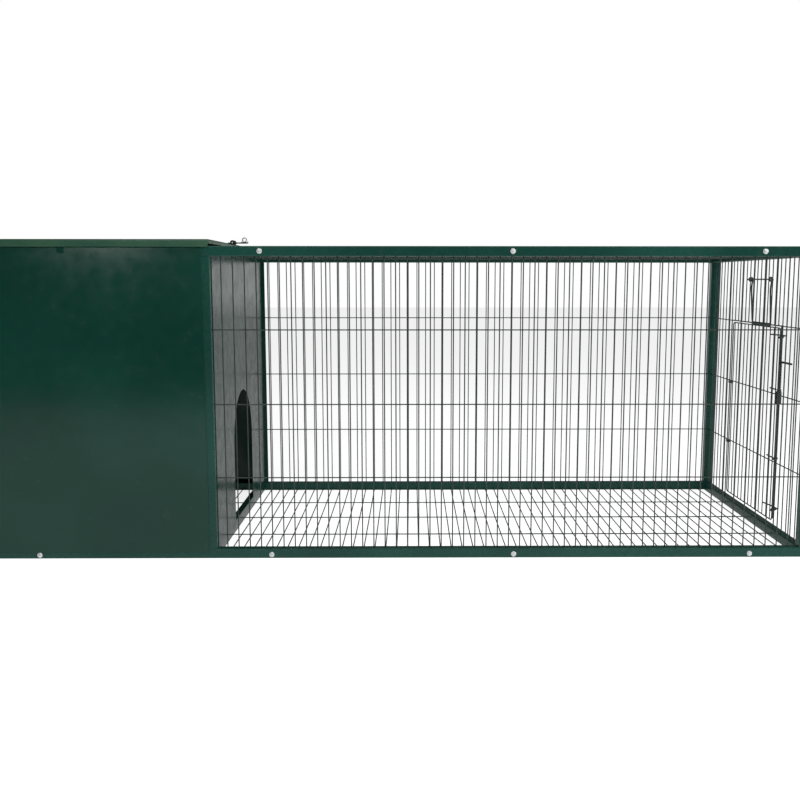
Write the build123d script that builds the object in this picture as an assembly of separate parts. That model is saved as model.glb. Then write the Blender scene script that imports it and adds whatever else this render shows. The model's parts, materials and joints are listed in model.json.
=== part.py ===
from build123d import *
import os

# Outdoor poultry run with a sheet-metal house at one end.
# +X runs along the length (house at -X, door end at +X), the front is at -Y, +Z is up, mm.

# ---- frame -------------------------------------------------------------
tube = 20.0                     # square tube, outside
tube_wall = 1.5
tube_corner = 2.0               # outside corner radius of the tube
run_clear = 1190.0              # clear length of the wire run between posts
house_clear = 540.0             # clear length of the house between posts
frame_length = run_clear + house_clear + 3 * tube
frame_depth = 650.0
frame_height = 630.0

x_left = -frame_length / 2      # outer face of the house end
x_right = frame_length / 2      # outer face of the door end
x_run = x_right - tube - run_clear      # run side face of the middle posts
x_mid = x_run - tube / 2                # centre of the middle posts
y_out = frame_depth / 2
y_in = y_out - tube
z_low = tube                    # top of the bottom rails
z_high = frame_height - tube    # underside of the top rails

# ---- welded wire mesh --------------------------------------------------
wire = 1.2                      # wire radius
weld = 0.02                     # how far crossing wires sink into each other
layer = 2 * wire - weld         # distance between the two wire layers
pitch = 23.0
rise = 150.0                    # spacing of the cross wires
first_rise = z_low - 5 + rise   # height of the lowest cross wire
mesh_y = y_out - tube / 2       # wall meshes sit in the middle of the tubes
mesh_x = x_right - tube / 2
roof_z = frame_height - tube / 2
floor_z = 4.5
edge_gap = 20.0                 # post to first wire

# ---- sheet metal -------------------------------------------------------
sheet = 1.5
panel_foot = 13.0               # lower edge of the house panels
panel_head = frame_height - 2
lid_top = frame_height + 13
lip_foot = frame_height - 2
lip_gap = 1.5                   # clearance between lid lip and house panel
lid_right = x_run + 1
hole_width = 230.0              # arched way into the house
hole_sill = 28.0
hole_top = 310.0
hole_y = -8.0                   # centre of the way in, a little to the front
flange = 8.5

# ---- end door ----------------------------------------------------------
edge_rod = 1.4                  # radius of the heavier rods round door and opening
rod_plane = mesh_x + edge_rod - wire    # inner sides of rods and wires are level
opening_half = 7 * pitch
door_half = 150.0
door_foot = 32.0
opening_head = first_rise + 2 * rise
door_head = opening_head - 5
running = 0.06                  # radial clearance of turning parts
loop_height = 6.0

# ---- latch rod on the door ---------------------------------------------
rod = 2.2
rod_x = rod_plane + 6
rod_y = -door_half + 8
rod_foot = 34.0
rod_head = 466.0
arm_z = 386.0
arm_length = 62.0
arm = 2.6
sleeve_foot = 293.0
sleeve_head = 320.0
sleeve_half = 8.0
bow = 1.6                       # radius of the wire bows that hold the rod
bow_zs = (55.0, 440.0)
link_zs = (171.0, 324.0)

# ---- carry handle ------------------------------------------------------
pivot_x = mesh_x + 7
pivot_z = 566.0
pivot_half = 3 * pitch
pivot_rod = 1.6
eye_half = 61.0
grip_x = mesh_x + 13
grip_z = 463.0
grip_half = 54.0
grip = 4.0
bail = 2.0

# ---- lid hinges --------------------------------------------------------
knuckle = 4.0
pin = 2.0
hinge_x = x_left - sheet - lip_gap - sheet - 5.5
hinge_z = lip_foot - 10
hinge_ys = (-200, 200)
leaf_half = 30.0                # half the length of one hinge

# ---- hasp on the lid's right edge --------------------------------------
hasp_x = x_run - 13             # hinge line of the strap
hasp_z = lid_top + 5.8
hasp_knuckle = 5.6
hasp_pin = 1.6
hasp_half = 12.0
strap_reach = 33.0
ring_radius = 4.6
ring_wire = 1.5

# ---- fasteners ---------------------------------------------------------
bolt = 2.6
bolt_head = 5.4
bolt_head_height = 3.0
bolt_reach = 8.0                # length of the shank inside the tube
top_bolt_xs = (x_run + 98, x_run + 596, x_run + 1094)
low_bolt_xs = (x_run - 360, x_run + 111, x_run + 605, x_run + 1089)
low_bolt_z = 8.0


def block(x0, x1, y0, y1, z0, z1):
    solid = Box(x1 - x0, y1 - y0, z1 - z0)
    return Pos((x0 + x1) / 2, (y0 + y1) / 2, (z0 + z1) / 2) * solid


def rod_between(start, end, radius):
    run = Vector(*end) - Vector(*start)
    return Solid.make_cylinder(radius, run.length, Plane(origin=start, z_dir=run))


def sealed_tube(axis, start, end, centre):
    """One closed square tube along an axis, its other two coordinates at centre."""
    length = end - start
    outer = Box(tube, tube, length)
    outer = fillet(outer.edges().filter_by(Axis.Z), tube_corner)
    inner = Box(tube - 2 * tube_wall, tube - 2 * tube_wall, length - 2 * tube_wall)
    solid = outer - inner
    middle = (start + end) / 2
    if axis == "x":
        return Pos(middle, centre[0], centre[1]) * Rot(0, 90, 0) * solid
    if axis == "y":
        return Pos(centre[0], middle, centre[1]) * Rot(90, 0, 0) * solid
    return Pos(centre[0], centre[1], middle) * solid


def steps(first, last, step):
    count = int(round((last - first) / step, 6)) + 1
    return [first + i * step for i in range(count)]


nodes = {}

# ---- tubes of the frame ------------------------------------------------
rail_y = y_out - tube / 2
rail_low = tube / 2
rail_high = frame_height - tube / 2
for side, y in (("front", -rail_y), ("back", rail_y)):
    face = y + (tube / 2 if y > 0 else -tube / 2)
    for level, z, bolt_xs in (("bottom", rail_low, low_bolt_xs), ("top", rail_high, top_bolt_xs)):
        rail = sealed_tube("x", x_left, x_right, (y, z))
        bolt_z = low_bolt_z if level == "bottom" else rail_high
        for x in bolt_xs:
            rail -= rod_between((x, face, bolt_z), (x, y, bolt_z), bolt + 0.15)
        nodes[f"{level}_rail_{side}"] = [rail]
    for place, x in (("house", x_left + tube / 2), ("middle", x_mid), ("end", mesh_x)):
        nodes[f"{place}_post_{side}"] = [sealed_tube("z", z_low, z_high, (x, y))]
for place, x in (("house", x_left + tube / 2), ("middle", x_mid), ("end", mesh_x)):
    nodes[f"{place}_cross_rail_bottom"] = [sealed_tube("y", -y_in, y_in, (x, rail_low))]
    nodes[f"{place}_cross_rail_top"] = [sealed_tube("y", -y_in, y_in, (x, rail_high))]

# ---- wire mesh of the run ----------------------------------------------
wire_xs = steps(x_run + edge_gap, x_right - tube - edge_gap, pitch)
rises = [first_rise + i * rise for i in range(4) if first_rise + i * rise < z_high]
for side, sign in (("front", -1), ("back", 1)):
    y = sign * mesh_y
    uprights = [rod_between((x, y, z_low), (x, y, z_high), wire) for x in wire_xs]
    inner_y = y - sign * layer
    crosses = [rod_between((x_run, inner_y, z), (x_right - tube, inner_y, z), wire) for z in rises]
    nodes[f"{side}_wire_mesh"] = uprights + crosses


def flat_mesh(x0, x1, xs, z, z_cross):
    """Level mesh: close wires across the depth, five long wires 150 apart."""
    close = [rod_between((x, -y_in, z), (x, y_in, z), wire) for x in xs]
    long_ys = steps(-2 * rise, 2 * rise, rise)
    return close + [rod_between((x0, y, z_cross), (x1, y, z_cross), wire) for y in long_ys]


house_xs = steps(x_left + tube + 19, x_run - tube - 19, pitch)
nodes["roof_wire_mesh"] = flat_mesh(x_run, x_right - tube, wire_xs, roof_z, roof_z - layer)
nodes["run_floor_wire_mesh"] = flat_mesh(x_run, x_right - tube, wire_xs, floor_z, floor_z - layer)
nodes["house_floor_wire_mesh"] = flat_mesh(
    x_left + tube, x_run - tube, house_xs, floor_z, floor_z - layer)

# ---- wire mesh of the door end -----------------------------------------
end_ys = steps(-13 * pitch, 13 * pitch, pitch)
cross_x = mesh_x - layer
upper = []
for y in end_ys:
    foot = opening_head + (edge_rod - weld if abs(y) < opening_half + 1 else 0)
    upper.append(rod_between((mesh_x, y, foot), (mesh_x, y, z_high), wire))
upper.append(rod_between((cross_x, -y_in, opening_head), (cross_x, y_in, opening_head), wire))
nodes["end_wire_mesh_upper"] = upper
for side, sign in (("front", -1), ("back", 1)):
    ys = [y for y in end_ys if y * sign > opening_half + 1]
    wires = [rod_between((mesh_x, y, z_low), (mesh_x, y, opening_head), wire) for y in ys]
    for z in rises[:2]:
        wires.append(rod_between((cross_x, sign * opening_half, z), (cross_x, sign * y_in, z), wire))
    nodes[f"end_wire_mesh_{side}"] = wires
    edge_y = sign * opening_half
    nodes[f"door_opening_edge_{side}"] = [
        rod_between((rod_plane, edge_y, z_low), (rod_plane, edge_y, opening_head - edge_rod), edge_rod)]
top_rod_x = cross_x + wire + edge_rod + 0.05
nodes["door_opening_edge_top"] = [
    rod_between((top_rod_x, -opening_half - edge_rod, opening_head),
                (top_rod_x, opening_half + edge_rod, opening_head), edge_rod)]

# ---- end door ----------------------------------------------------------
corners = [(rod_plane, y, z) for y, z in (
    (-door_half, door_foot), (door_half, door_foot), (door_half, door_head), (-door_half, door_head))]
border = rod_between(corners[3], corners[0], edge_rod)
for corner, following in zip(corners, corners[1:]):
    border += rod_between(corner, following, edge_rod)
for corner in corners:
    border += Pos(*corner) * Sphere(edge_rod)
nodes["door_border_rod"] = [border]

door_ys = steps(-6 * pitch, 6 * pitch, pitch)
door_wires = []
for y in door_ys:
    door_wires.append(rod_between(
        (mesh_x, y, door_foot + edge_rod - weld), (mesh_x, y, door_head - edge_rod + weld), wire))
for z in rises[:2]:
    door_wires.append(rod_between((cross_x, -door_half, z), (cross_x, door_half, z), wire))
nodes["door_wire_mesh"] = door_wires


def link_plate(a, b, radius_a, radius_b, foot, height):
    """Upright-axis link: two round ends joined by their tangent hull."""
    with BuildSketch() as sk:
        with Locations(a):
            Circle(radius_a)
        with Locations(b):
            Circle(radius_b)
        make_hull()
    return Pos(0, 0, foot) * extrude(sk.sketch, height)


def upright(x, y, z0, z1, radius):
    return rod_between((x, y, z0), (x, y, z1), radius)


loops = []
for z in rises[:2]:
    foot = z - wire - 0.4 - loop_height
    loop = link_plate((rod_plane, door_half), (rod_plane, opening_half), 3.4, 3.4, foot, loop_height)
    loop -= upright(rod_plane, door_half, foot - 1, foot + loop_height + 1, edge_rod + running)
    loop -= upright(rod_plane, opening_half, foot - 1, foot + loop_height + 1, edge_rod)
    loops.append(loop)
nodes["door_hinge_loops"] = loops

# ---- latch rod with its guides -----------------------------------------
guides = []
for z in bow_zs + link_zs[:1]:
    foot = z - 2
    guide = link_plate((rod_x, rod_y), (rod_plane, -door_half), 4.6, 3.4, foot, 4.0)
    guide -= upright(rod_x, rod_y, foot - 1, foot + 5, rod + running)
    guide -= upright(rod_plane, -door_half, foot - 1, foot + 5, edge_rod)
    guides.append(guide)
nodes["latch_guides"] = guides

bows = []
on_wires = mesh_x + wire + bow - weld
outside = rod_x + rod + bow + 0.6
for z in bow_zs:
    z = z + 2 + bow
    corners = [(on_wires, -4 * pitch, z), (outside, rod_y + 9, z),
               (outside, rod_y - 9, z), (on_wires + 0.6, -7 * pitch, z)]
    wire_bow = Pos(*corners[0]) * Sphere(bow)
    for corner, following in zip(corners, corners[1:]):
        wire_bow += rod_between(corner, following, bow)
        wire_bow += Pos(*following) * Sphere(bow)
    bows.append(wire_bow)
for z in link_zs:
    bows.append(rod_between((on_wires, -4 * pitch - 6, z), (on_wires, -6 * pitch + 5, z), bow))
nodes["latch_bows"] = bows

sleeve = block(rod_plane + edge_rod, rod_x + 4, rod_y - sleeve_half, rod_y + sleeve_half,
               sleeve_foot, sleeve_head)
sleeve = fillet(sleeve.edges().filter_by(Axis.Z).group_by(Axis.X)[-1], 3.0)
sleeve -= upright(rod_x, rod_y, sleeve_foot - 1, sleeve_head + 1, rod + running)
nodes["latch_sleeve"] = [sleeve]

latch = upright(rod_x, rod_y, rod_foot, rod_head, rod)
latch += upright(rod_x, rod_y, sleeve_head + 0.3, sleeve_head + 5.3, 5.0)
latch += rod_between((rod_x, rod_y + 3, arm_z - 1), (rod_x, rod_y - arm_length, arm_z), arm)
latch += Pos(rod_x, rod_y - arm_length, arm_z) * Sphere(arm)
nodes["latch_rod"] = [latch]

# ---- carry handle over the door ----------------------------------------
pivot = rod_between((pivot_x, -pivot_half, pivot_z), (pivot_x, pivot_half, pivot_z), pivot_rod)
for sign in (-1, 1):
    y = sign * pivot_half
    pivot += Pos(pivot_x, y, pivot_z) * Sphere(pivot_rod)
    pivot += rod_between((mesh_x + wire - weld, y, pivot_z), (pivot_x, y, pivot_z), pivot_rod)
nodes["carry_handle_pivot"] = [pivot]

eye_ring = 2.0
eye_centre = pivot_rod + 0.1 + eye_ring
handle = rod_between((grip_x, -grip_half - 3, grip_z), (grip_x, grip_half + 3, grip_z), bail)
for sign in (-1, 1):
    eye_y = sign * eye_half
    foot_y = sign * (grip_half + 3)
    handle += Pos(pivot_x, eye_y, pivot_z) * Rot(90, 0, 0) * Torus(eye_centre, eye_ring)
    handle += Pos(grip_x, foot_y, grip_z) * Sphere(bail)
    handle += rod_between((pivot_x, eye_y, pivot_z - eye_centre), (grip_x, foot_y, grip_z), bail)
nodes["carry_handle_bail"] = [handle]
grip_tube = rod_between((grip_x, -grip_half, grip_z), (grip_x, grip_half, grip_z), grip)
grip_tube -= rod_between((grip_x, -grip_half, grip_z), (grip_x, grip_half, grip_z), bail)
nodes["carry_handle_grip"] = [grip_tube]

# ---- house panels ------------------------------------------------------
for side, sign in (("front", -1), ("back", 1)):
    near, far = sorted((sign * y_out, sign * (y_out + sheet)))
    panel = block(x_left, x_run - tube + 5, near, far, panel_foot, panel_head)
    nodes[f"house_panel_{side}"] = [panel]
nodes["house_panel_end"] = [
    block(x_left - sheet, x_left, -y_out - sheet, y_out + sheet, panel_foot, panel_head)]

# ---- divider with the arched way in ------------------------------------
divider_half = mesh_y - 4
divider = block(x_run, x_run + sheet, -divider_half, divider_half, z_low, z_high)
divider += block(x_run, x_run + sheet, 0.5 - y_in, y_in - 0.5, 8, z_high + 2)
arch = hole_width / 2
hole_start = x_run - 1
hole_end = x_run + sheet + 1
arch_z = hole_top - arch
divider -= block(hole_start, hole_end, hole_y - arch, hole_y + arch, hole_sill, arch_z)
divider -= rod_between((hole_start, hole_y, arch_z), (hole_end, hole_y, arch_z), arch)
divider += block(x_run, x_run + flange, divider_half - sheet, divider_half, z_low, z_high)
nodes["divider_panel"] = [divider]

# ---- lid ---------------------------------------------------------------
lip_y = y_out + sheet + lip_gap + sheet
lip_x = x_left - sheet - lip_gap - sheet
lid = block(lip_x, lid_right, -lip_y, lip_y, lid_top - sheet, lid_top)
lid += block(lip_x, lip_x + sheet, -lip_y, lip_y, lip_foot, lid_top)
lid += block(lid_right - sheet, lid_right, -lip_y, lip_y, frame_height + 1, lid_top)
for sign in (-1, 1):
    near, far = sorted((sign * lip_y, sign * (lip_y - sheet)))
    lid += block(lip_x, lid_right, near, far, lip_foot, lid_top)
nodes["house_lid"] = [lid]

buffer_height = lid_top - sheet - frame_height - 0.3
buffers = []
for x in (x_left + 60, x_run - tube - 60):
    for y in (-rail_y, rail_y):
        buffers.append(upright(x, y, frame_height, frame_height + buffer_height, 6.5))
nodes["lid_buffers"] = buffers

# ---- lid hinges --------------------------------------------------------
lid_leaves = []
house_leaves = []
pins = []
for y in hinge_ys:
    third = leaf_half / 3
    for y0, y1 in ((y - leaf_half, y - third - 0.3), (y + third + 0.3, y + leaf_half)):
        barrel = rod_between((hinge_x, y0, hinge_z), (hinge_x, y1, hinge_z), knuckle)
        leaf = barrel + block(lip_x - sheet, lip_x, y0, y1, hinge_z + 1.5, lid_top - 2)
        leaf += block(hinge_x, lip_x, y0, y1, hinge_z + 1.5, hinge_z + 3.5)
        leaf -= rod_between((hinge_x, y0 - 1, hinge_z), (hinge_x, y1 + 1, hinge_z), pin)
        lid_leaves.append(leaf)
    barrel = rod_between((hinge_x, y - third, hinge_z), (hinge_x, y + third, hinge_z), knuckle)
    wall_x = x_left - sheet
    leaf = barrel + block(hinge_x, wall_x, y - third, y + third, hinge_z - 3.5, hinge_z - 1)
    leaf += block(wall_x - sheet, wall_x, y - third, y + third, hinge_z - 30, hinge_z - 1)
    leaf -= rod_between((hinge_x, y - 20, hinge_z), (hinge_x, y + 20, hinge_z), pin + running)
    house_leaves.append(leaf)
    pins.append(rod_between((hinge_x, y - leaf_half, hinge_z), (hinge_x, y + leaf_half, hinge_z), pin))
nodes["lid_hinge_leaves"] = lid_leaves
nodes["house_hinge_leaves"] = house_leaves
nodes["lid_hinge_pins"] = pins

# ---- hasp on the lid's right edge --------------------------------------
third = hasp_half / 3
leaf = rod_between((hasp_x, -third, hasp_z), (hasp_x, third, hasp_z), hasp_knuckle)
leaf += block(hasp_x - 10.5, hasp_x - 6.2, -hasp_half, hasp_half, lid_top, lid_top + 6)
leaf += block(hasp_x - 7, hasp_x, -third, third, lid_top + 0.4, lid_top + 3)
leaf -= rod_between((hasp_x, -hasp_half, hasp_z), (hasp_x, hasp_half, hasp_z), hasp_pin)
nodes["hasp_leaf"] = [leaf]
nodes["hasp_pin"] = [rod_between((hasp_x, -hasp_half, hasp_z), (hasp_x, hasp_half, hasp_z), hasp_pin)]

strap_top = hasp_z + 0.4
strap = block(hasp_x + 6.2, hasp_x + strap_reach, -hasp_half, hasp_half, strap_top - 2, strap_top)
strap = fillet(strap.edges().filter_by(Axis.Z).group_by(Axis.X)[-1], 5.0)
for y0, y1 in ((-hasp_half, -third - 0.3), (third + 0.3, hasp_half)):
    strap += rod_between((hasp_x, y0, hasp_z), (hasp_x, y1, hasp_z), hasp_knuckle)
    strap += block(hasp_x, hasp_x + 7, y0, y1, strap_top - 2, strap_top)
strap -= rod_between((hasp_x, -20, hasp_z), (hasp_x, 20, hasp_z), hasp_pin + running)
nodes["hasp_strap"] = [strap]

ring_x = x_run + 13
ring_z = strap_top + ring_radius + ring_wire - 0.05
ring = Pos(ring_x, 0, ring_z) * Rot(90, 0, 0) * Torus(ring_radius, ring_wire)
ring += rod_between((ring_x - 8, 0, strap_top + 1.3), (ring_x + 9, 0, strap_top + 1.3), 1.3)
nodes["hasp_ring"] = [ring]

# ---- small catch under the front lip -----------------------------------
catch_x = (x_left + x_run) / 2
catch_y = -y_out - sheet
catch = block(catch_x - 7, catch_x + 7, catch_y - 1.6, catch_y, lip_foot - 11, lip_foot - 2)
catch += block(catch_x - 5, catch_x + 5, catch_y - 2.6, catch_y, lip_foot - 5, lip_foot - 2)
nodes["lid_front_catch"] = [catch]

# ---- bolts through the outer wall of the rails -------------------------
bolts = []
for sign in (-1, 1):
    for bolt_xs, z in ((low_bolt_xs, low_bolt_z), (top_bolt_xs, rail_high)):
        for x in bolt_xs:
            face = sign * (y_out + sheet if x < x_run - tube else y_out)
            tip = sign * (y_out - bolt_reach)
            head = rod_between((x, face, z), (x, face + sign * bolt_head_height, z), bolt_head)
            rim = head.edges().group_by(Axis.Y)[0 if sign < 0 else -1]
            head = head.fillet(1.8, rim)
            bolts.append(head + rod_between((x, face, z), (x, tip, z), bolt))
nodes["rail_bolts"] = bolts

# ---- put the middle of the whole box on the origin and write -----------
whole = Compound([solid for group in nodes.values() for solid in group])
box = whole.bounding_box()
centring = Pos(-(box.min.X + box.max.X) / 2, -(box.min.Y + box.max.Y) / 2, -box.min.Z)
print("box", box.min, box.max)
os.makedirs("parts", exist_ok=True)
for name, group in nodes.items():
    placed = [centring * solid for solid in group]
    export_step(placed[0] if len(placed) == 1 else Compound(placed), f"parts/{name}.step")
print(len(nodes), "nodes")
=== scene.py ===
import json
import math
import random

import bmesh
import bpy
from mathutils import Euler, Matrix, Vector


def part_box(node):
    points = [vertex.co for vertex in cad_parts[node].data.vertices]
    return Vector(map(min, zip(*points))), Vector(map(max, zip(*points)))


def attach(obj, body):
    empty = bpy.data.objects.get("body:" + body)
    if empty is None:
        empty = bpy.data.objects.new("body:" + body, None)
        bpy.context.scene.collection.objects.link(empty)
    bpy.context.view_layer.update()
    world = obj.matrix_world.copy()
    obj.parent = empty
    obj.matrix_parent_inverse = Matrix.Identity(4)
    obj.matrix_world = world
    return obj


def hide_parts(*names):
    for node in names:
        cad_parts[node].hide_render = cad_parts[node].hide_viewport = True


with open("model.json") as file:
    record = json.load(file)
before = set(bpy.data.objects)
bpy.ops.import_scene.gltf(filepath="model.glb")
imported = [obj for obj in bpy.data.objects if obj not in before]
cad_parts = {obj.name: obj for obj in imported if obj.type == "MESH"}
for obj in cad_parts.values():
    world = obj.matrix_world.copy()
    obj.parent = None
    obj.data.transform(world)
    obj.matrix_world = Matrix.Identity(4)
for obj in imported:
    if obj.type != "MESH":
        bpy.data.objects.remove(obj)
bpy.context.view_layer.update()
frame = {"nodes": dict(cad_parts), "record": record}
nodes = frame["nodes"]

print("stage: camera, light and floor")

cameraSettings = {
    "place": (0.0848, -2.1842, 0.5619),
    "lens": 42.134,
    "turn": 0.00915,      # to the right, radians
    "tilt": 0.12643,      # downwards, radians
    "roll": 0.00034,      # radians
    "shiftX": -0.025,
}


def makeCamera(settings):
    data = bpy.data.cameras.new("camera")
    data.lens = settings["lens"]
    data.shift_x = settings["shiftX"]
    camera = bpy.data.objects.new("camera", data)
    aim = Euler((math.pi / 2 - settings["tilt"], 0, -settings["turn"])).to_matrix()
    aim = aim @ Matrix.Rotation(settings["roll"], 3, "Z")
    camera.matrix_world = Matrix.Translation(settings["place"]) @ aim.to_4x4()
    bpy.context.scene.collection.objects.link(camera)
    bpy.context.scene.camera = camera


studio = {
    "backdrop": (1, 1, 1, 1),
    "horizonLight": 0.95,           # pale wall low down behind the run
    "roomLight": 0.02,              # dim room everywhere else
    "bandHeight": (0.05, 0.19),     # where the pale wall fades out, as the rise of the ray
    "frontFade": (-0.25, 0.35),     # where the room gives way to the wall, as the ray's Y
}
floorSheet = {
    "colour": (0.90, 0.90, 0.90, 1),
    "rough": 0.9,
    "specular": 0.1,
    "glowColour": (1, 1, 1, 1),
    "seenGlow": 0.85,               # the sheet's own light, as the camera sees it
    "castGlow": 0.36,               # and as it falls on the run
    "halfSize": (14, 10.2),
    "centre": (0, 7.8, -0.0005),    # just under the rails, and reaching far back
}
softBoxes = {
    "leftBox": {"place": (-0.9, -3.4, 2.6), "aim": (-0.2, 0, 0.1), "size": (0.7, 0.9), "power": 25.0},
    "rightBox": {"place": (1.5, -3.2, 2.4), "aim": (0.4, 0, 0.1), "size": (0.7, 0.9), "power": 21.0},
    "overhead": {"place": (0.3, -0.9, 3.0), "aim": (0.1, -0.3, 0), "size": (1.6, 0.8), "power": 14.0},
    "edgeStrip": {"place": (2.7, -1.7, 1.25), "aim": (-0.2, -0.3, 0.5), "size": (0.5, 1.7),
                  "power": 22.0},
}


def newNode(tree, kind, **values):
    # a value is the node's own setting or, failing that, the socket of that name
    node = tree.nodes.new(kind)
    for key, value in values.items():
        if hasattr(node, key):
            setattr(node, key, value)
        else:
            node.inputs[key.replace("_", " ")].default_value = value
    return node


def fade(tree, source, start, end, low, high):
    node = newNode(tree, "ShaderNodeMapRange", interpolation_type="SMOOTHSTEP")
    for label, value in (("From Min", start), ("From Max", end), ("To Min", low), ("To Max", high)):
        node.inputs[label].default_value = value
    tree.links.new(source, node.inputs["Value"])
    return node.outputs["Result"]


def combine(tree, kind, *values):
    node = newNode(tree, "ShaderNodeMath", operation=kind)
    for socket, value in zip(node.inputs, values):
        if isinstance(value, (int, float)):
            socket.default_value = value
        else:
            tree.links.new(value, socket)
    return node.outputs[0]


def makeWorld(settings):
    world = bpy.data.worlds.new("studio")
    bpy.context.scene.world = world
    world.use_nodes = True
    tree = world.node_tree
    link = tree.links.new
    tree.nodes.clear()
    out = newNode(tree, "ShaderNodeOutputWorld")
    mix = newNode(tree, "ShaderNodeMixShader")
    path = newNode(tree, "ShaderNodeLightPath")
    seen = newNode(tree, "ShaderNodeBackground")
    seen.inputs["Color"].default_value = settings["backdrop"]
    soft = newNode(tree, "ShaderNodeBackground")
    coords = newNode(tree, "ShaderNodeTexCoord")
    split = newNode(tree, "ShaderNodeSeparateXYZ")
    link(coords.outputs["Generated"], split.inputs[0])
    rise = combine(tree, "ABSOLUTE", split.outputs["Z"])
    wallLight = settings["horizonLight"] - settings["roomLight"]
    band = fade(tree, rise, *settings["bandHeight"], wallLight, 0)
    behind = fade(tree, split.outputs["Y"], *settings["frontFade"], 0, 1)
    wall = combine(tree, "MULTIPLY", band, behind)
    link(combine(tree, "ADD", wall, settings["roomLight"]), soft.inputs["Strength"])
    link(path.outputs["Is Camera Ray"], mix.inputs[0])
    link(soft.outputs[0], mix.inputs[1])
    link(seen.outputs[0], mix.inputs[2])
    link(mix.outputs[0], out.inputs["Surface"])


def addAreaLight(name, box):
    data = bpy.data.lights.new(name, "AREA")
    data.shape = "RECTANGLE"
    data.size, data.size_y = box["size"]
    data.energy = box["power"]
    light = bpy.data.objects.new(name, data)
    direction = Vector(box["aim"]) - Vector(box["place"])
    light.rotation_euler = direction.to_track_quat("-Z", "Y").to_euler()
    light.location = box["place"]
    bpy.context.scene.collection.objects.link(light)


def makeFloor(settings):
    material = bpy.data.materials.new("paleFloor")
    material.use_nodes = True
    tree = material.node_tree
    shader = tree.nodes["Principled BSDF"]
    shader.inputs["Base Color"].default_value = settings["colour"]
    shader.inputs["Roughness"].default_value = settings["rough"]
    shader.inputs["Specular IOR Level"].default_value = settings["specular"]
    shader.inputs["Emission Color"].default_value = settings["glowColour"]
    path = newNode(tree, "ShaderNodeLightPath")
    glow = fade(tree, path.outputs["Is Camera Ray"], 0, 1, settings["castGlow"], settings["seenGlow"])
    tree.links.new(glow, shader.inputs["Emission Strength"])
    bm = bmesh.new()
    bmesh.ops.create_grid(bm, x_segments=2, y_segments=2, size=1)
    bmesh.ops.scale(bm, vec=(*settings["halfSize"], 1), verts=bm.verts)
    bmesh.ops.translate(bm, vec=settings["centre"], verts=bm.verts)
    mesh = bpy.data.meshes.new("floor")
    bm.to_mesh(mesh)
    bm.free()
    mesh.materials.append(material)
    floor = bpy.data.objects.new("floor", mesh)
    bpy.context.scene.collection.objects.link(floor)


makeCamera(cameraSettings)
makeWorld(studio)
makeFloor(floorSheet)
for name, box in softBoxes.items():
    addAreaLight(name, box)
bpy.context.scene.view_settings.view_transform = "Standard"

print("stage: materials")

paintGrain = {
    "cloudDetail": 3.0, "cloudFade": (0.35, 0.65),
    "scuffDetail": 6.0, "wornFade": (0.60, 0.74), "glossFade": (0.3, 0.7),
    "speckDetail": 2.0, "speckFade": (0.35, 0.7), "speckFiner": 5, "leastSpeck": 0.2,
    "levelFade": (0.6, 1.0),        # how level a face lies before dust settles on it
    "waveDetail": 1.0, "peelDetail": 2.0,
}


def coatedMetal(name, look, grain=paintGrain):
    material = bpy.data.materials.new(name)
    material.use_nodes = True
    tree = material.node_tree
    link = tree.links.new
    shader = tree.nodes["Principled BSDF"]
    coords = newNode(tree, "ShaderNodeTexCoord").outputs["Object"]

    def noise(scale, detail):
        node = newNode(tree, "ShaderNodeTexNoise", Scale=scale, Detail=detail)
        link(coords, node.inputs["Vector"])
        return node.outputs["Fac"]

    def blendColour(factor, first, second):
        node = newNode(tree, "ShaderNodeMix", data_type="RGBA")
        link(factor, node.inputs["Factor"])
        for socket, value in ((node.inputs["A"], first), (node.inputs["B"], second)):
            if isinstance(value, tuple):
                socket.default_value = (*value, 1)
            else:
                link(value, socket)
        return node.outputs["Result"]

    cloud = noise(look["cloudScale"], grain["cloudDetail"])
    scuff = noise(look["scuffScale"], grain["scuffDetail"])
    speck = noise(look["scuffScale"] * grain["speckFiner"], grain["speckDetail"])
    tint = blendColour(fade(tree, cloud, *grain["cloudFade"], 0, 1), look["deep"], look["light"])
    wornShare = fade(tree, scuff, *grain["wornFade"], 0, look["wornShare"])
    worn = blendColour(wornShare, tint, look["worn"])
    facing = newNode(tree, "ShaderNodeNewGeometry")
    upward = newNode(tree, "ShaderNodeSeparateXYZ")
    link(facing.outputs["Normal"], upward.inputs[0])
    level = fade(tree, upward.outputs["Z"], *grain["levelFade"], 0, look["dustShare"])
    specks = fade(tree, speck, *grain["speckFade"], grain["leastSpeck"], 1)
    dustShare = combine(tree, "MULTIPLY", level, specks)
    link(blendColour(dustShare, worn, look["dust"]), shader.inputs["Base Color"])
    gloss = fade(tree, scuff, *grain["glossFade"], look["rough"] - look["roughSpread"],
                 look["rough"] + look["roughSpread"])
    link(combine(tree, "ADD", gloss, dustShare), shader.inputs["Roughness"])
    wave = newNode(tree, "ShaderNodeBump", Strength=look["waveStrength"], Distance=look["waveDepth"])
    peel = newNode(tree, "ShaderNodeBump", Strength=look["peelStrength"], Distance=look["peelDepth"])
    link(noise(look["waveScale"], grain["waveDetail"]), wave.inputs["Height"])
    link(noise(look["peelScale"], grain["peelDetail"]), peel.inputs["Height"])
    link(wave.outputs["Normal"], peel.inputs["Normal"])
    link(peel.outputs["Normal"], shader.inputs["Normal"])
    shader.inputs["Specular IOR Level"].default_value = look["specular"]
    shader.inputs["Metallic"].default_value = look["metallic"]
    return material


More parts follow.
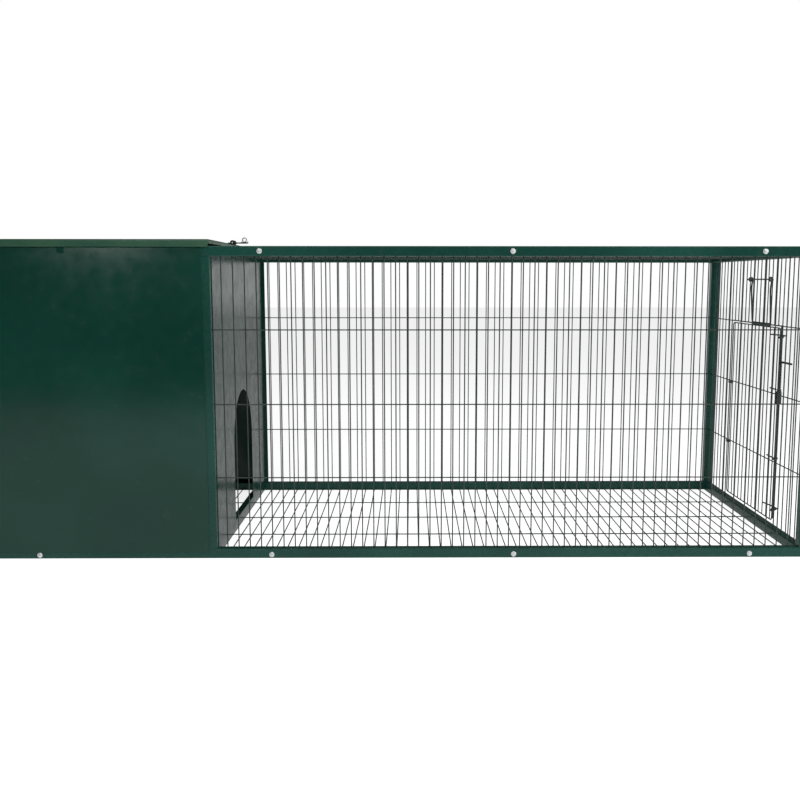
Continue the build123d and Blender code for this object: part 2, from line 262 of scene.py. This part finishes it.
greenPaint = {
    "deep": (0.005, 0.047, 0.032), "light": (0.008, 0.062, 0.043), "cloudScale": 3.0,
    "worn": (0.03, 0.085, 0.065), "wornShare": 0.22, "scuffScale": 40.0,
    "dust": (0.16, 0.17, 0.15), "dustShare": 0.04,
    "rough": 0.22, "roughSpread": 0.05, "specular": 0.35, "metallic": 0.0,
    "peelScale": 700.0, "peelStrength": 0.25, "peelDepth": 0.0002,
    "waveScale": 4.0, "waveStrength": 0.3, "waveDepth": 0.004,
}
frameLook = dict(greenPaint, deep=(0.010, 0.064, 0.047), light=(0.016, 0.088, 0.066),
                 scuffScale=55.0, specular=0.28, rough=0.27, waveScale=12.0, waveDepth=0.001)
# painted reflection: the lid gets a lighter, warmer copy of the panel paint, standing in for the warm
# sheen it shows
lidSheenLook = dict(greenPaint, deep=(0.024, 0.095, 0.066), light=(0.052, 0.135, 0.080),
               cloudScale=6.0, rough=0.34)
wireLook = dict(greenPaint, deep=(0.022, 0.038, 0.032), light=(0.040, 0.062, 0.053),
                worn=(0.10, 0.12, 0.11), rough=0.34, specular=0.5, cloudScale=25.0,
                scuffScale=160.0, peelScale=1500.0, waveScale=60.0, waveDepth=0.0003)
rodLook = dict(wireLook, cloudScale=40.0)
fittingLook = dict(wireLook, deep=(0.010, 0.022, 0.018), light=(0.018, 0.034, 0.028), cloudScale=60.0)
zincLook = dict(wireLook, deep=(0.80, 0.82, 0.83), light=(0.92, 0.93, 0.93), worn=(0.60, 0.62, 0.63),
                rough=0.50, metallic=0.55, cloudScale=120.0)
rubberLook = dict(wireLook, deep=(0.010, 0.010, 0.010), light=(0.020, 0.020, 0.020),
                  worn=(0.06, 0.06, 0.06), rough=0.7)
materials = {
    "frame_paint": coatedMetal("framePaint", frameLook),
    "panel_paint": coatedMetal("panelPaint", greenPaint),
    "wire_coating": coatedMetal("wireCoating", wireLook),
    "rod_coating": coatedMetal("rodCoating", rodLook),
    "fitting_paint": coatedMetal("fittingPaint", fittingLook),
    "buffer_rubber": coatedMetal("bufferRubber", rubberLook),
    "zinc": coatedMetal("brightZinc", zincLook),
}
# the lid's material is the lighter copy above, which carries the painted sheen
lidSheenPaint = coatedMetal("lidSheenPaint", lidSheenLook)

for part in frame["record"]["subparts"]:
    node = nodes[part["node"]]
    node.data.materials.clear()
    node.data.materials.append(materials[part["material_slot"]])

print("stage: helpers for the pieces")


def boxOf(nodeName):
    low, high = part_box(nodeName)
    return Vector(low), Vector(high)


def finishPiece(name, bm, body, slot, *replaced, sharp=0.7, material=None):
    # edges that turn by more than sharp, in radians, stay crisp
    bmesh.ops.recalc_face_normals(bm, faces=bm.faces)
    for face in bm.faces:
        face.smooth = True
    for edge in bm.edges:
        if len(edge.link_faces) == 2 and edge.calc_face_angle(0) > sharp:
            edge.smooth = False
    mesh = bpy.data.meshes.new(name)
    bm.to_mesh(mesh)
    bm.free()
    mesh.materials.append(material or materials[slot])
    piece = bpy.data.objects.new(name, mesh)
    bpy.context.scene.collection.objects.link(piece)
    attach(piece, body)
    if replaced:
        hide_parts(*replaced)


def sweepRing(bm, points, radii, sides, closed=False):
    # a ring of edges drawn along the points, its radius given once or at each of them
    points = [Vector(point) for point in points]
    if not isinstance(radii, (list, tuple)):
        radii = [radii] * len(points)
    count = len(points)
    ring = bmesh.ops.create_circle(bm, segments=sides, radius=1.0)["verts"]
    firstEdges = list({edge for vert in ring for edge in vert.link_edges})
    edges = firstEdges
    turn = None
    heading = None
    placed = Matrix.Identity(4)
    for index, point in enumerate(points):
        before = points[index - 1] if index or closed else point
        after = points[(index + 1) % count] if index < count - 1 or closed else point
        nextHeading = (after - before).normalized()
        if turn is None:
            turn = nextHeading.to_track_quat("Z", "Y")
        else:
            turn = heading.rotation_difference(nextHeading) @ turn
            grown = bmesh.ops.extrude_edge_only(bm, edges=edges)["geom"]
            edges = [item for item in grown if isinstance(item, bmesh.types.BMEdge)]
            ring = [item for item in grown if isinstance(item, bmesh.types.BMVert)]
        heading = nextHeading
        target = Matrix.Translation(point) @ turn.to_matrix().to_4x4() @ Matrix.Scale(radii[index], 4)
        bmesh.ops.transform(bm, matrix=target @ placed.inverted(), verts=ring)
        placed = target
    if closed:
        bmesh.ops.bridge_loops(bm, edges=firstEdges + edges)
    else:
        bmesh.ops.holes_fill(bm, edges=firstEdges, sides=sides)
        bmesh.ops.holes_fill(bm, edges=edges, sides=sides)


def roundPath(points, bend, steps=5, closed=False):
    # the same corners, each rounded from bend before it to bend after it
    points = [Vector(point) for point in points]
    count = len(points)
    path = [] if closed else [points[0]]
    for index in range(0 if closed else 1, count if closed else count - 1):
        corner = points[index]
        start = corner + (points[index - 1] - corner).normalized() * bend
        end = corner + (points[(index + 1) % count] - corner).normalized() * bend
        for step in range(steps + 1):
            share = step / steps
            path.append(start.lerp(corner, share).lerp(corner.lerp(end, share), share))
    return path if closed else path + [points[-1]]


def solidBoxes(nodeName, touching=1e-6):
    # the lowest and highest corner of every separate solid in a CAD node
    bm = bmesh.new()
    bm.from_mesh(nodes[nodeName].data)
    bmesh.ops.remove_doubles(bm, verts=bm.verts, dist=touching)
    bm.verts.ensure_lookup_table()
    boxes = []
    left = set(bm.verts)
    while left:
        stack = [left.pop()]
        group = []
        while stack:
            vert = stack.pop()
            group.append(vert.co.copy())
            for edge in vert.link_edges:
                other = edge.other_vert(vert)
                if other in left:
                    left.remove(other)
                    stack.append(other)
        boxes.append((Vector([min(co[axis] for co in group) for axis in range(3)]),
                      Vector([max(co[axis] for co in group) for axis in range(3)])))
    bm.free()
    return sorted(boxes, key=lambda box: tuple(box[0]))


print("stage: house sheets")

lidFold = {
    "sheet": 0.0015,
    "fold": 0.0030,
    "segments": 5,
    "downward": -0.9,         # the normal's Z past which a face is the open underside
    "rightLipFoot": 0.0083,   # how far the right lip hangs down
    "edgeBand": 0.0027,       # what counts as the right lip: this near the edge
    "footBand": 0.001,        # and this near the foot
    "sharp": 0.9,
}


def makeLid(settings):
    low, high = boxOf("house_lid")
    bm = bmesh.new()
    bmesh.ops.create_cube(bm, size=1.0)
    bmesh.ops.scale(bm, vec=high - low, verts=bm.verts)
    bmesh.ops.translate(bm, vec=(low + high) / 2, verts=bm.verts)
    under = [face for face in bm.faces if face.normal.z < settings["downward"]]
    bmesh.ops.delete(bm, geom=under, context="FACES_ONLY")
    folds = [edge for edge in bm.edges if len(edge.link_faces) == 2]
    bmesh.ops.bevel(bm, geom=folds, offset=settings["fold"], offset_type="OFFSET",
                    segments=settings["segments"], profile=0.5, affect="EDGES", material=-1,
                    clamp_overlap=True)
    for vert in bm.verts:
        if vert.co.x > high.x - settings["edgeBand"] and vert.co.z < low.z + settings["footBand"]:
            vert.co.z = high.z - settings["rightLipFoot"]
    bmesh.ops.recalc_face_normals(bm, faces=bm.faces)
    bmesh.ops.solidify(bm, geom=list(bm.faces), thickness=settings["sheet"])
    # the lid wears the painted-sheen copy of the panel paint, not the panel paint itself
    finishPiece("foldedLid", bm, "lid", "panel_paint", "house_lid",
                sharp=settings["sharp"], material=lidSheenPaint)


makeLid(lidFold)

shellFold = {
    "sheet": 0.0015,
    "fold": 0.0035,
    "rim": 0.0004,
    "rimSegments": 2,
    "rimAngle": 1.2,          # an edge that turns by more is one of the sheet's rims
    "sharp": 0.9,
}


def makeShell(settings):
    low, high = boxOf("house_panel_front")
    backY = boxOf("house_panel_back")[1].y
    left = boxOf("house_panel_end")[0].x
    corners = [(high.x, low.y, low.z), (left, low.y, low.z), (left, backY, low.z), (high.x, backY, low.z)]
    bm = bmesh.new()
    verts = [bm.verts.new(point) for point in roundPath(corners, settings["fold"])]
    edges = [bm.edges.new(pair) for pair in zip(verts, verts[1:])]
    grown = bmesh.ops.extrude_edge_only(bm, edges=edges)["geom"]
    raised = [item for item in grown if isinstance(item, bmesh.types.BMVert)]
    bmesh.ops.translate(bm, vec=(0, 0, high.z - low.z), verts=raised)
    bmesh.ops.recalc_face_normals(bm, faces=bm.faces)
    middle = Vector(((left + high.x) / 2, 0, 0))
    widest = max(bm.faces, key=lambda face: face.calc_area())
    if widest.normal.dot(widest.calc_center_median() - middle) < 0:
        bmesh.ops.reverse_faces(bm, faces=bm.faces)
    bmesh.ops.solidify(bm, geom=list(bm.faces), thickness=settings["sheet"])
    rims = [edge for edge in bm.edges
            if len(edge.link_faces) == 2 and edge.calc_face_angle(0) > settings["rimAngle"]]
    bmesh.ops.bevel(bm, geom=rims, offset=settings["rim"], offset_type="OFFSET",
                    segments=settings["rimSegments"], profile=0.5, affect="EDGES", material=-1,
                    clamp_overlap=True)
    finishPiece("houseShell", bm, "coop", "panel_paint",
                "house_panel_front", "house_panel_back", "house_panel_end", sharp=settings["sharp"])


makeShell(shellFold)

print("stage: bolts and rivets")

boltShape = {
    "height": 0.003,
    "profile": ((1.0, 0.0), (1.0, 0.22), (0.93, 0.34), (0.70, 0.40),     # share of radius, of height
                (0.68, 0.62), (0.60, 0.82), (0.42, 0.95), (0.15, 1.0)),
    "sides": 24,
    "shankShare": 0.48,
    "shankSides": 16,
    "sharp": 0.8,
}


def addHead(bm, place, outward, radius, settings):
    profile = settings["profile"]
    points = [Vector(place) + Vector(outward) * settings["height"] * rise for share, rise in profile]
    sweepRing(bm, points, [radius * share for share, rise in profile], settings["sides"])


def makeBolts(settings):
    bm = bmesh.new()
    for low, high in solidBoxes("rail_bolts"):
        middle = (low + high) / 2
        outward = -1 if middle.y < 0 else 1
        radius = (high.x - low.x) / 2
        inner = high.y if outward < 0 else low.y
        outer = low.y if outward < 0 else high.y
        place = (middle.x, outer - outward * settings["height"], middle.z)
        addHead(bm, place, (0, outward, 0), radius, settings)
        sweepRing(bm, [(middle.x, inner, middle.z), place], radius * settings["shankShare"],
                  settings["shankSides"])
    finishPiece("railBolts", bm, "coop", "zinc", "rail_bolts", sharp=settings["sharp"])


makeBolts(boltShape)

rivetShape = {
    "radius": 0.0024,
    "height": 0.0012,
    "profile": ((1.0, -0.2), (1.0, 0.15), (0.85, 0.6), (0.5, 0.9), (0.15, 1.0)),
    "sides": 16,
    "leafSheet": 0.0015,      # the hinge leaf under the rivet
}
rivetRows = {     # rise is a share of the leaf's height
    "lidRivets": {"leaves": "lid_hinge_leaves", "body": "lid", "rise": 0.72},
    "houseRivets": {"leaves": "house_hinge_leaves", "body": "coop", "rise": 0.25},
}


def makeRivets(name, row, settings):
    bm = bmesh.new()
    for low, high in solidBoxes(row["leaves"]):
        place = (high.x - settings["leafSheet"], (low.y + high.y) / 2,
                 low.z + (high.z - low.z) * row["rise"])
        addHead(bm, place, (-1, 0, 0), settings["radius"], settings)
    finishPiece(name, bm, row["body"], "zinc")


for name, row in rivetRows.items():
    makeRivets(name, row, rivetShape)

print("stage: bent wire parts")

doorBend = {"bend": 0.009, "steps": 6, "sides": 12}


def makeDoorBorder(settings):
    low, high = boxOf("door_border_rod")
    radius = (high.x - low.x) / 2
    middle = (low.x + high.x) / 2
    corners = [(middle, y, z) for y, z in (
        (low.y + radius, low.z + radius), (high.y - radius, low.z + radius),
        (high.y - radius, high.z - radius), (low.y + radius, high.z - radius))]
    path = roundPath(corners, settings["bend"], settings["steps"], closed=True)
    bm = bmesh.new()
    sweepRing(bm, path, radius, settings["sides"], closed=True)
    finishPiece("doorBorder", bm, "door", "rod_coating", "door_border_rod")


makeDoorBorder(doorBend)

handleShape = {
    "wire": 0.0020, "wireSides": 12, "bend": 0.010,
    "pivotRod": 0.0016,
    "coilRadius": 0.0040, "coilTurns": 1.0, "coilPitch": 0.0041, "coilSteps": 22,
    "shoulder": (0.001, 0.020),     # the first bend under an eye: inwards, downwards
    "gripClear": 0.003,             # the wire's straight ends beside the grip
    "gripRadius": 0.0040, "gripGroove": 0.0033, "gripRibs": 18, "ribSteps": 4, "gripSides": 20,
}


def makeHandle(settings):
    wire = settings["wire"]
    eyeY = boxOf("carry_handle_bail")[1].y - wire
    gripLow, gripHigh = boxOf("carry_handle_grip")
    gripX = (gripLow.x + gripHigh.x) / 2
    gripZ = (gripLow.z + gripHigh.z) / 2
    gripHalf = (gripHigh.y - gripLow.y) / 2
    pivotLow, pivotHigh = boxOf("carry_handle_pivot")
    pivotX = pivotHigh.x - settings["pivotRod"]
    pivotZ = (pivotLow.z + pivotHigh.z) / 2
    radius = settings["coilRadius"]
    turn = settings["coilTurns"] * 2 * math.pi
    coil = []
    for step in range(settings["coilSteps"] + 1):
        angle = turn * (1 - step / settings["coilSteps"])
        coil.append(Vector((pivotX + radius * math.cos(angle),
                            eyeY + settings["coilPitch"] * angle / (2 * math.pi),
                            pivotZ + radius * math.sin(angle))))
    inwards, downwards = settings["shoulder"]
    footY = gripHalf + settings["gripClear"]
    legs = [(pivotX + radius, eyeY, pivotZ), (pivotX + inwards, eyeY - inwards, pivotZ - downwards),
            (gripX, footY, gripZ), (gripX, -footY, gripZ),
            (pivotX + inwards, inwards - eyeY, pivotZ - downwards), (pivotX + radius, -eyeY, pivotZ)]
    mirrored = [Vector((point.x, -point.y, point.z)) for point in reversed(coil)]
    bm = bmesh.new()
    sweepRing(bm, coil + roundPath(legs, settings["bend"])[1:-1] + mirrored, wire, settings["wireSides"])
    finishPiece("handleWire", bm, "carry_handle", "rod_coating", "carry_handle_bail")
    ribSteps = settings["ribSteps"]
    count = settings["gripRibs"] * ribSteps
    points = [(gripX, -gripHalf + 2 * gripHalf * step / count, gripZ) for step in range(count + 1)]
    radii = [settings["gripRadius"] if step % ribSteps < ribSteps / 2 else settings["gripGroove"]
             for step in range(count + 1)]
    radii[0] = radii[-1] = settings["gripGroove"]
    bm = bmesh.new()
    sweepRing(bm, points, radii, settings["gripSides"])
    finishPiece("handleGrip", bm, "carry_handle", "rod_coating", "carry_handle_grip")


makeHandle(handleShape)

latchShape = {
    "rod": 0.0022, "rodSides": 16,
    "rodTip": ((0.0, 0.6), (0.0012, 1.0)),      # distance from the end, share of the radius
    "arm": 0.0026, "armSides": 14, "armAbove": 0.352,
    "armPath": ((-0.003, -0.001, 1.0), (0.010, 0, 0.9),     # reach, rise, share of the radius
                (0.060, 0, 0.9), (0.0635, 0, 0.45)),
    "collar": 0.0050, "collarSides": 20, "collarGap": 0.0003,
    "collarPath": ((0, 0.88), (0.0008, 1.0), (0.0042, 1.0), (0.005, 0.88)),     # rise, share
    "spring": 0.0009, "springSides": 6, "springRadius": 0.0034, "springTurns": 17, "turnSteps": 12,
}


def makeLatch(settings):
    low, high = boxOf("latch_rod")
    sleeveLow, sleeveHigh = boxOf("latch_sleeve")
    x = (low.x + high.x) / 2
    y = (sleeveLow.y + sleeveHigh.y) / 2
    bm = bmesh.new()
    tip = settings["rodTip"]
    points = [(x, y, low.z + rise) for rise, share in tip]
    points += [(x, y, high.z - rise) for rise, share in reversed(tip)]
    radii = [settings["rod"] * share for rise, share in tip + tip[::-1]]
    sweepRing(bm, points, radii, settings["rodSides"])

    arm = settings["arm"]
    armZ = low.z + settings["armAbove"]
    points = [(x, y - reach, armZ + rise) for reach, rise, share in settings["armPath"]]
    radii = [arm * share for reach, rise, share in settings["armPath"]]
    sweepRing(bm, points, radii, settings["armSides"])

    collarZ = sleeveHigh.z + settings["collarGap"]
    points = [(x, y, collarZ + rise) for rise, share in settings["collarPath"]]
    radii = [settings["collar"] * share for rise, share in settings["collarPath"]]
    sweepRing(bm, points, radii, settings["collarSides"])

    spring = settings["spring"]
    radius = settings["springRadius"]
    foot = points[-1][2] + spring
    head = armZ - arm - spring
    steps = settings["springTurns"] * settings["turnSteps"]
    coil = []
    for step in range(steps + 1):
        angle = 2 * math.pi * step / settings["turnSteps"]
        coil.append((x + radius * math.cos(angle), y + radius * math.sin(angle),
                     foot + (head - foot) * step / steps))
    sweepRing(bm, coil, spring, settings["springSides"])
    finishPiece("latchRod", bm, "latch", "rod_coating", "latch_rod")


makeLatch(latchShape)

print("stage: welds")

nuggetShape = {
    "along": 0.0019,          # half sizes, along the wires and through them
    "across": 0.0014,
    "slack": 1e-4,            # how far apart two wires may lie and still be welded
    "sharp": 3.0,
}
nuggetRows = {
    "runWelds": {"body": "coop", "meshes": ("front_wire_mesh", "back_wire_mesh")},
    "levelWelds": {"body": "coop",
                   "meshes": ("roof_wire_mesh", "run_floor_wire_mesh", "house_floor_wire_mesh")},
    "endWelds": {"body": "coop",
                 "meshes": ("end_wire_mesh_upper", "end_wire_mesh_front", "end_wire_mesh_back")},
    "doorWelds": {"body": "door", "meshes": ("door_wire_mesh",)},
}


def addNuggets(bm, nodeName, settings):
    boxes = solidBoxes(nodeName)
    longest = [max(range(3), key=lambda axis: (high - low)[axis]) for low, high in boxes]
    axes = sorted(set(longest))
    if len(axes) < 2:
        return
    layer = ({0, 1, 2} - set(axes)).pop()
    size = [settings["along"]] * 3
    size[layer] = settings["across"]
    slack = settings["slack"]
    firsts = [box for box, axis in zip(boxes, longest) if axis == axes[0]]
    seconds = [box for box, axis in zip(boxes, longest) if axis == axes[1]]
    for lowA, highA in firsts:
        for lowB, highB in seconds:
            if any(highA[axis] < lowB[axis] - slack or highB[axis] < lowA[axis] - slack for axis in axes):
                continue
            place = Vector((0, 0, 0))
            place[axes[0]] = (lowB[axes[0]] + highB[axes[0]]) / 2
            place[axes[1]] = (lowA[axes[1]] + highA[axes[1]]) / 2
            place[layer] = (lowA[layer] + highA[layer] + lowB[layer] + highB[layer]) / 4
            shape = Matrix.Translation(place) @ Matrix.Diagonal((*size, 1))
            bmesh.ops.create_icosphere(bm, subdivisions=1, radius=1.0, matrix=shape)


def makeNuggets(name, row, settings):
    bm = bmesh.new()
    for nodeName in row["meshes"]:
        addNuggets(bm, nodeName, settings)
    finishPiece(name, bm, row["body"], "wire_coating", sharp=settings["sharp"])


for name, row in nuggetRows.items():
    makeNuggets(name, row, nuggetShape)

beadShape = {
    "radius": 0.0017,
    "step": 0.0016,
    "spread": 0.18,           # how unevenly the bead swells
    "endShare": 0.4,
    "inset": 0.002,           # how far a bead stops short of the tube's corners
    "sides": 8,
    "sharp": 3.0,
    "seed": 7,
}


def addBead(bm, start, end, settings):
    start, end = Vector(start), Vector(end)
    count = max(2, int((end - start).length / settings["step"]))
    points = [start.lerp(end, step / count) for step in range(count + 1)]
    radii = [settings["radius"] * (1 + random.uniform(-1, 1) * settings["spread"]) for point in points]
    radii[0] = radii[-1] = settings["radius"] * settings["endShare"]
    sweepRing(bm, points, radii, settings["sides"])


def makeBeads(settings):
    inset = settings["inset"]
    random.seed(settings["seed"])
    bm = bmesh.new()
    for place in ("house", "middle", "end"):
        for side in ("front", "back"):
            low, high = boxOf(f"{place}_post_{side}")
            for x in (low.x, high.x):
                for z in (low.z, high.z):
                    addBead(bm, (x, low.y + inset, z), (x, high.y - inset, z), settings)
        for level in ("bottom", "top"):
            low, high = boxOf(f"{place}_cross_rail_{level}")
            for x in (low.x, high.x):
                for y in (low.y, high.y):
                    addBead(bm, (x, y, low.z + inset), (x, y, high.z - inset), settings)
    finishPiece("tubeWelds", bm, "coop", "frame_paint", sharp=settings["sharp"])


makeBeads(beadShape)
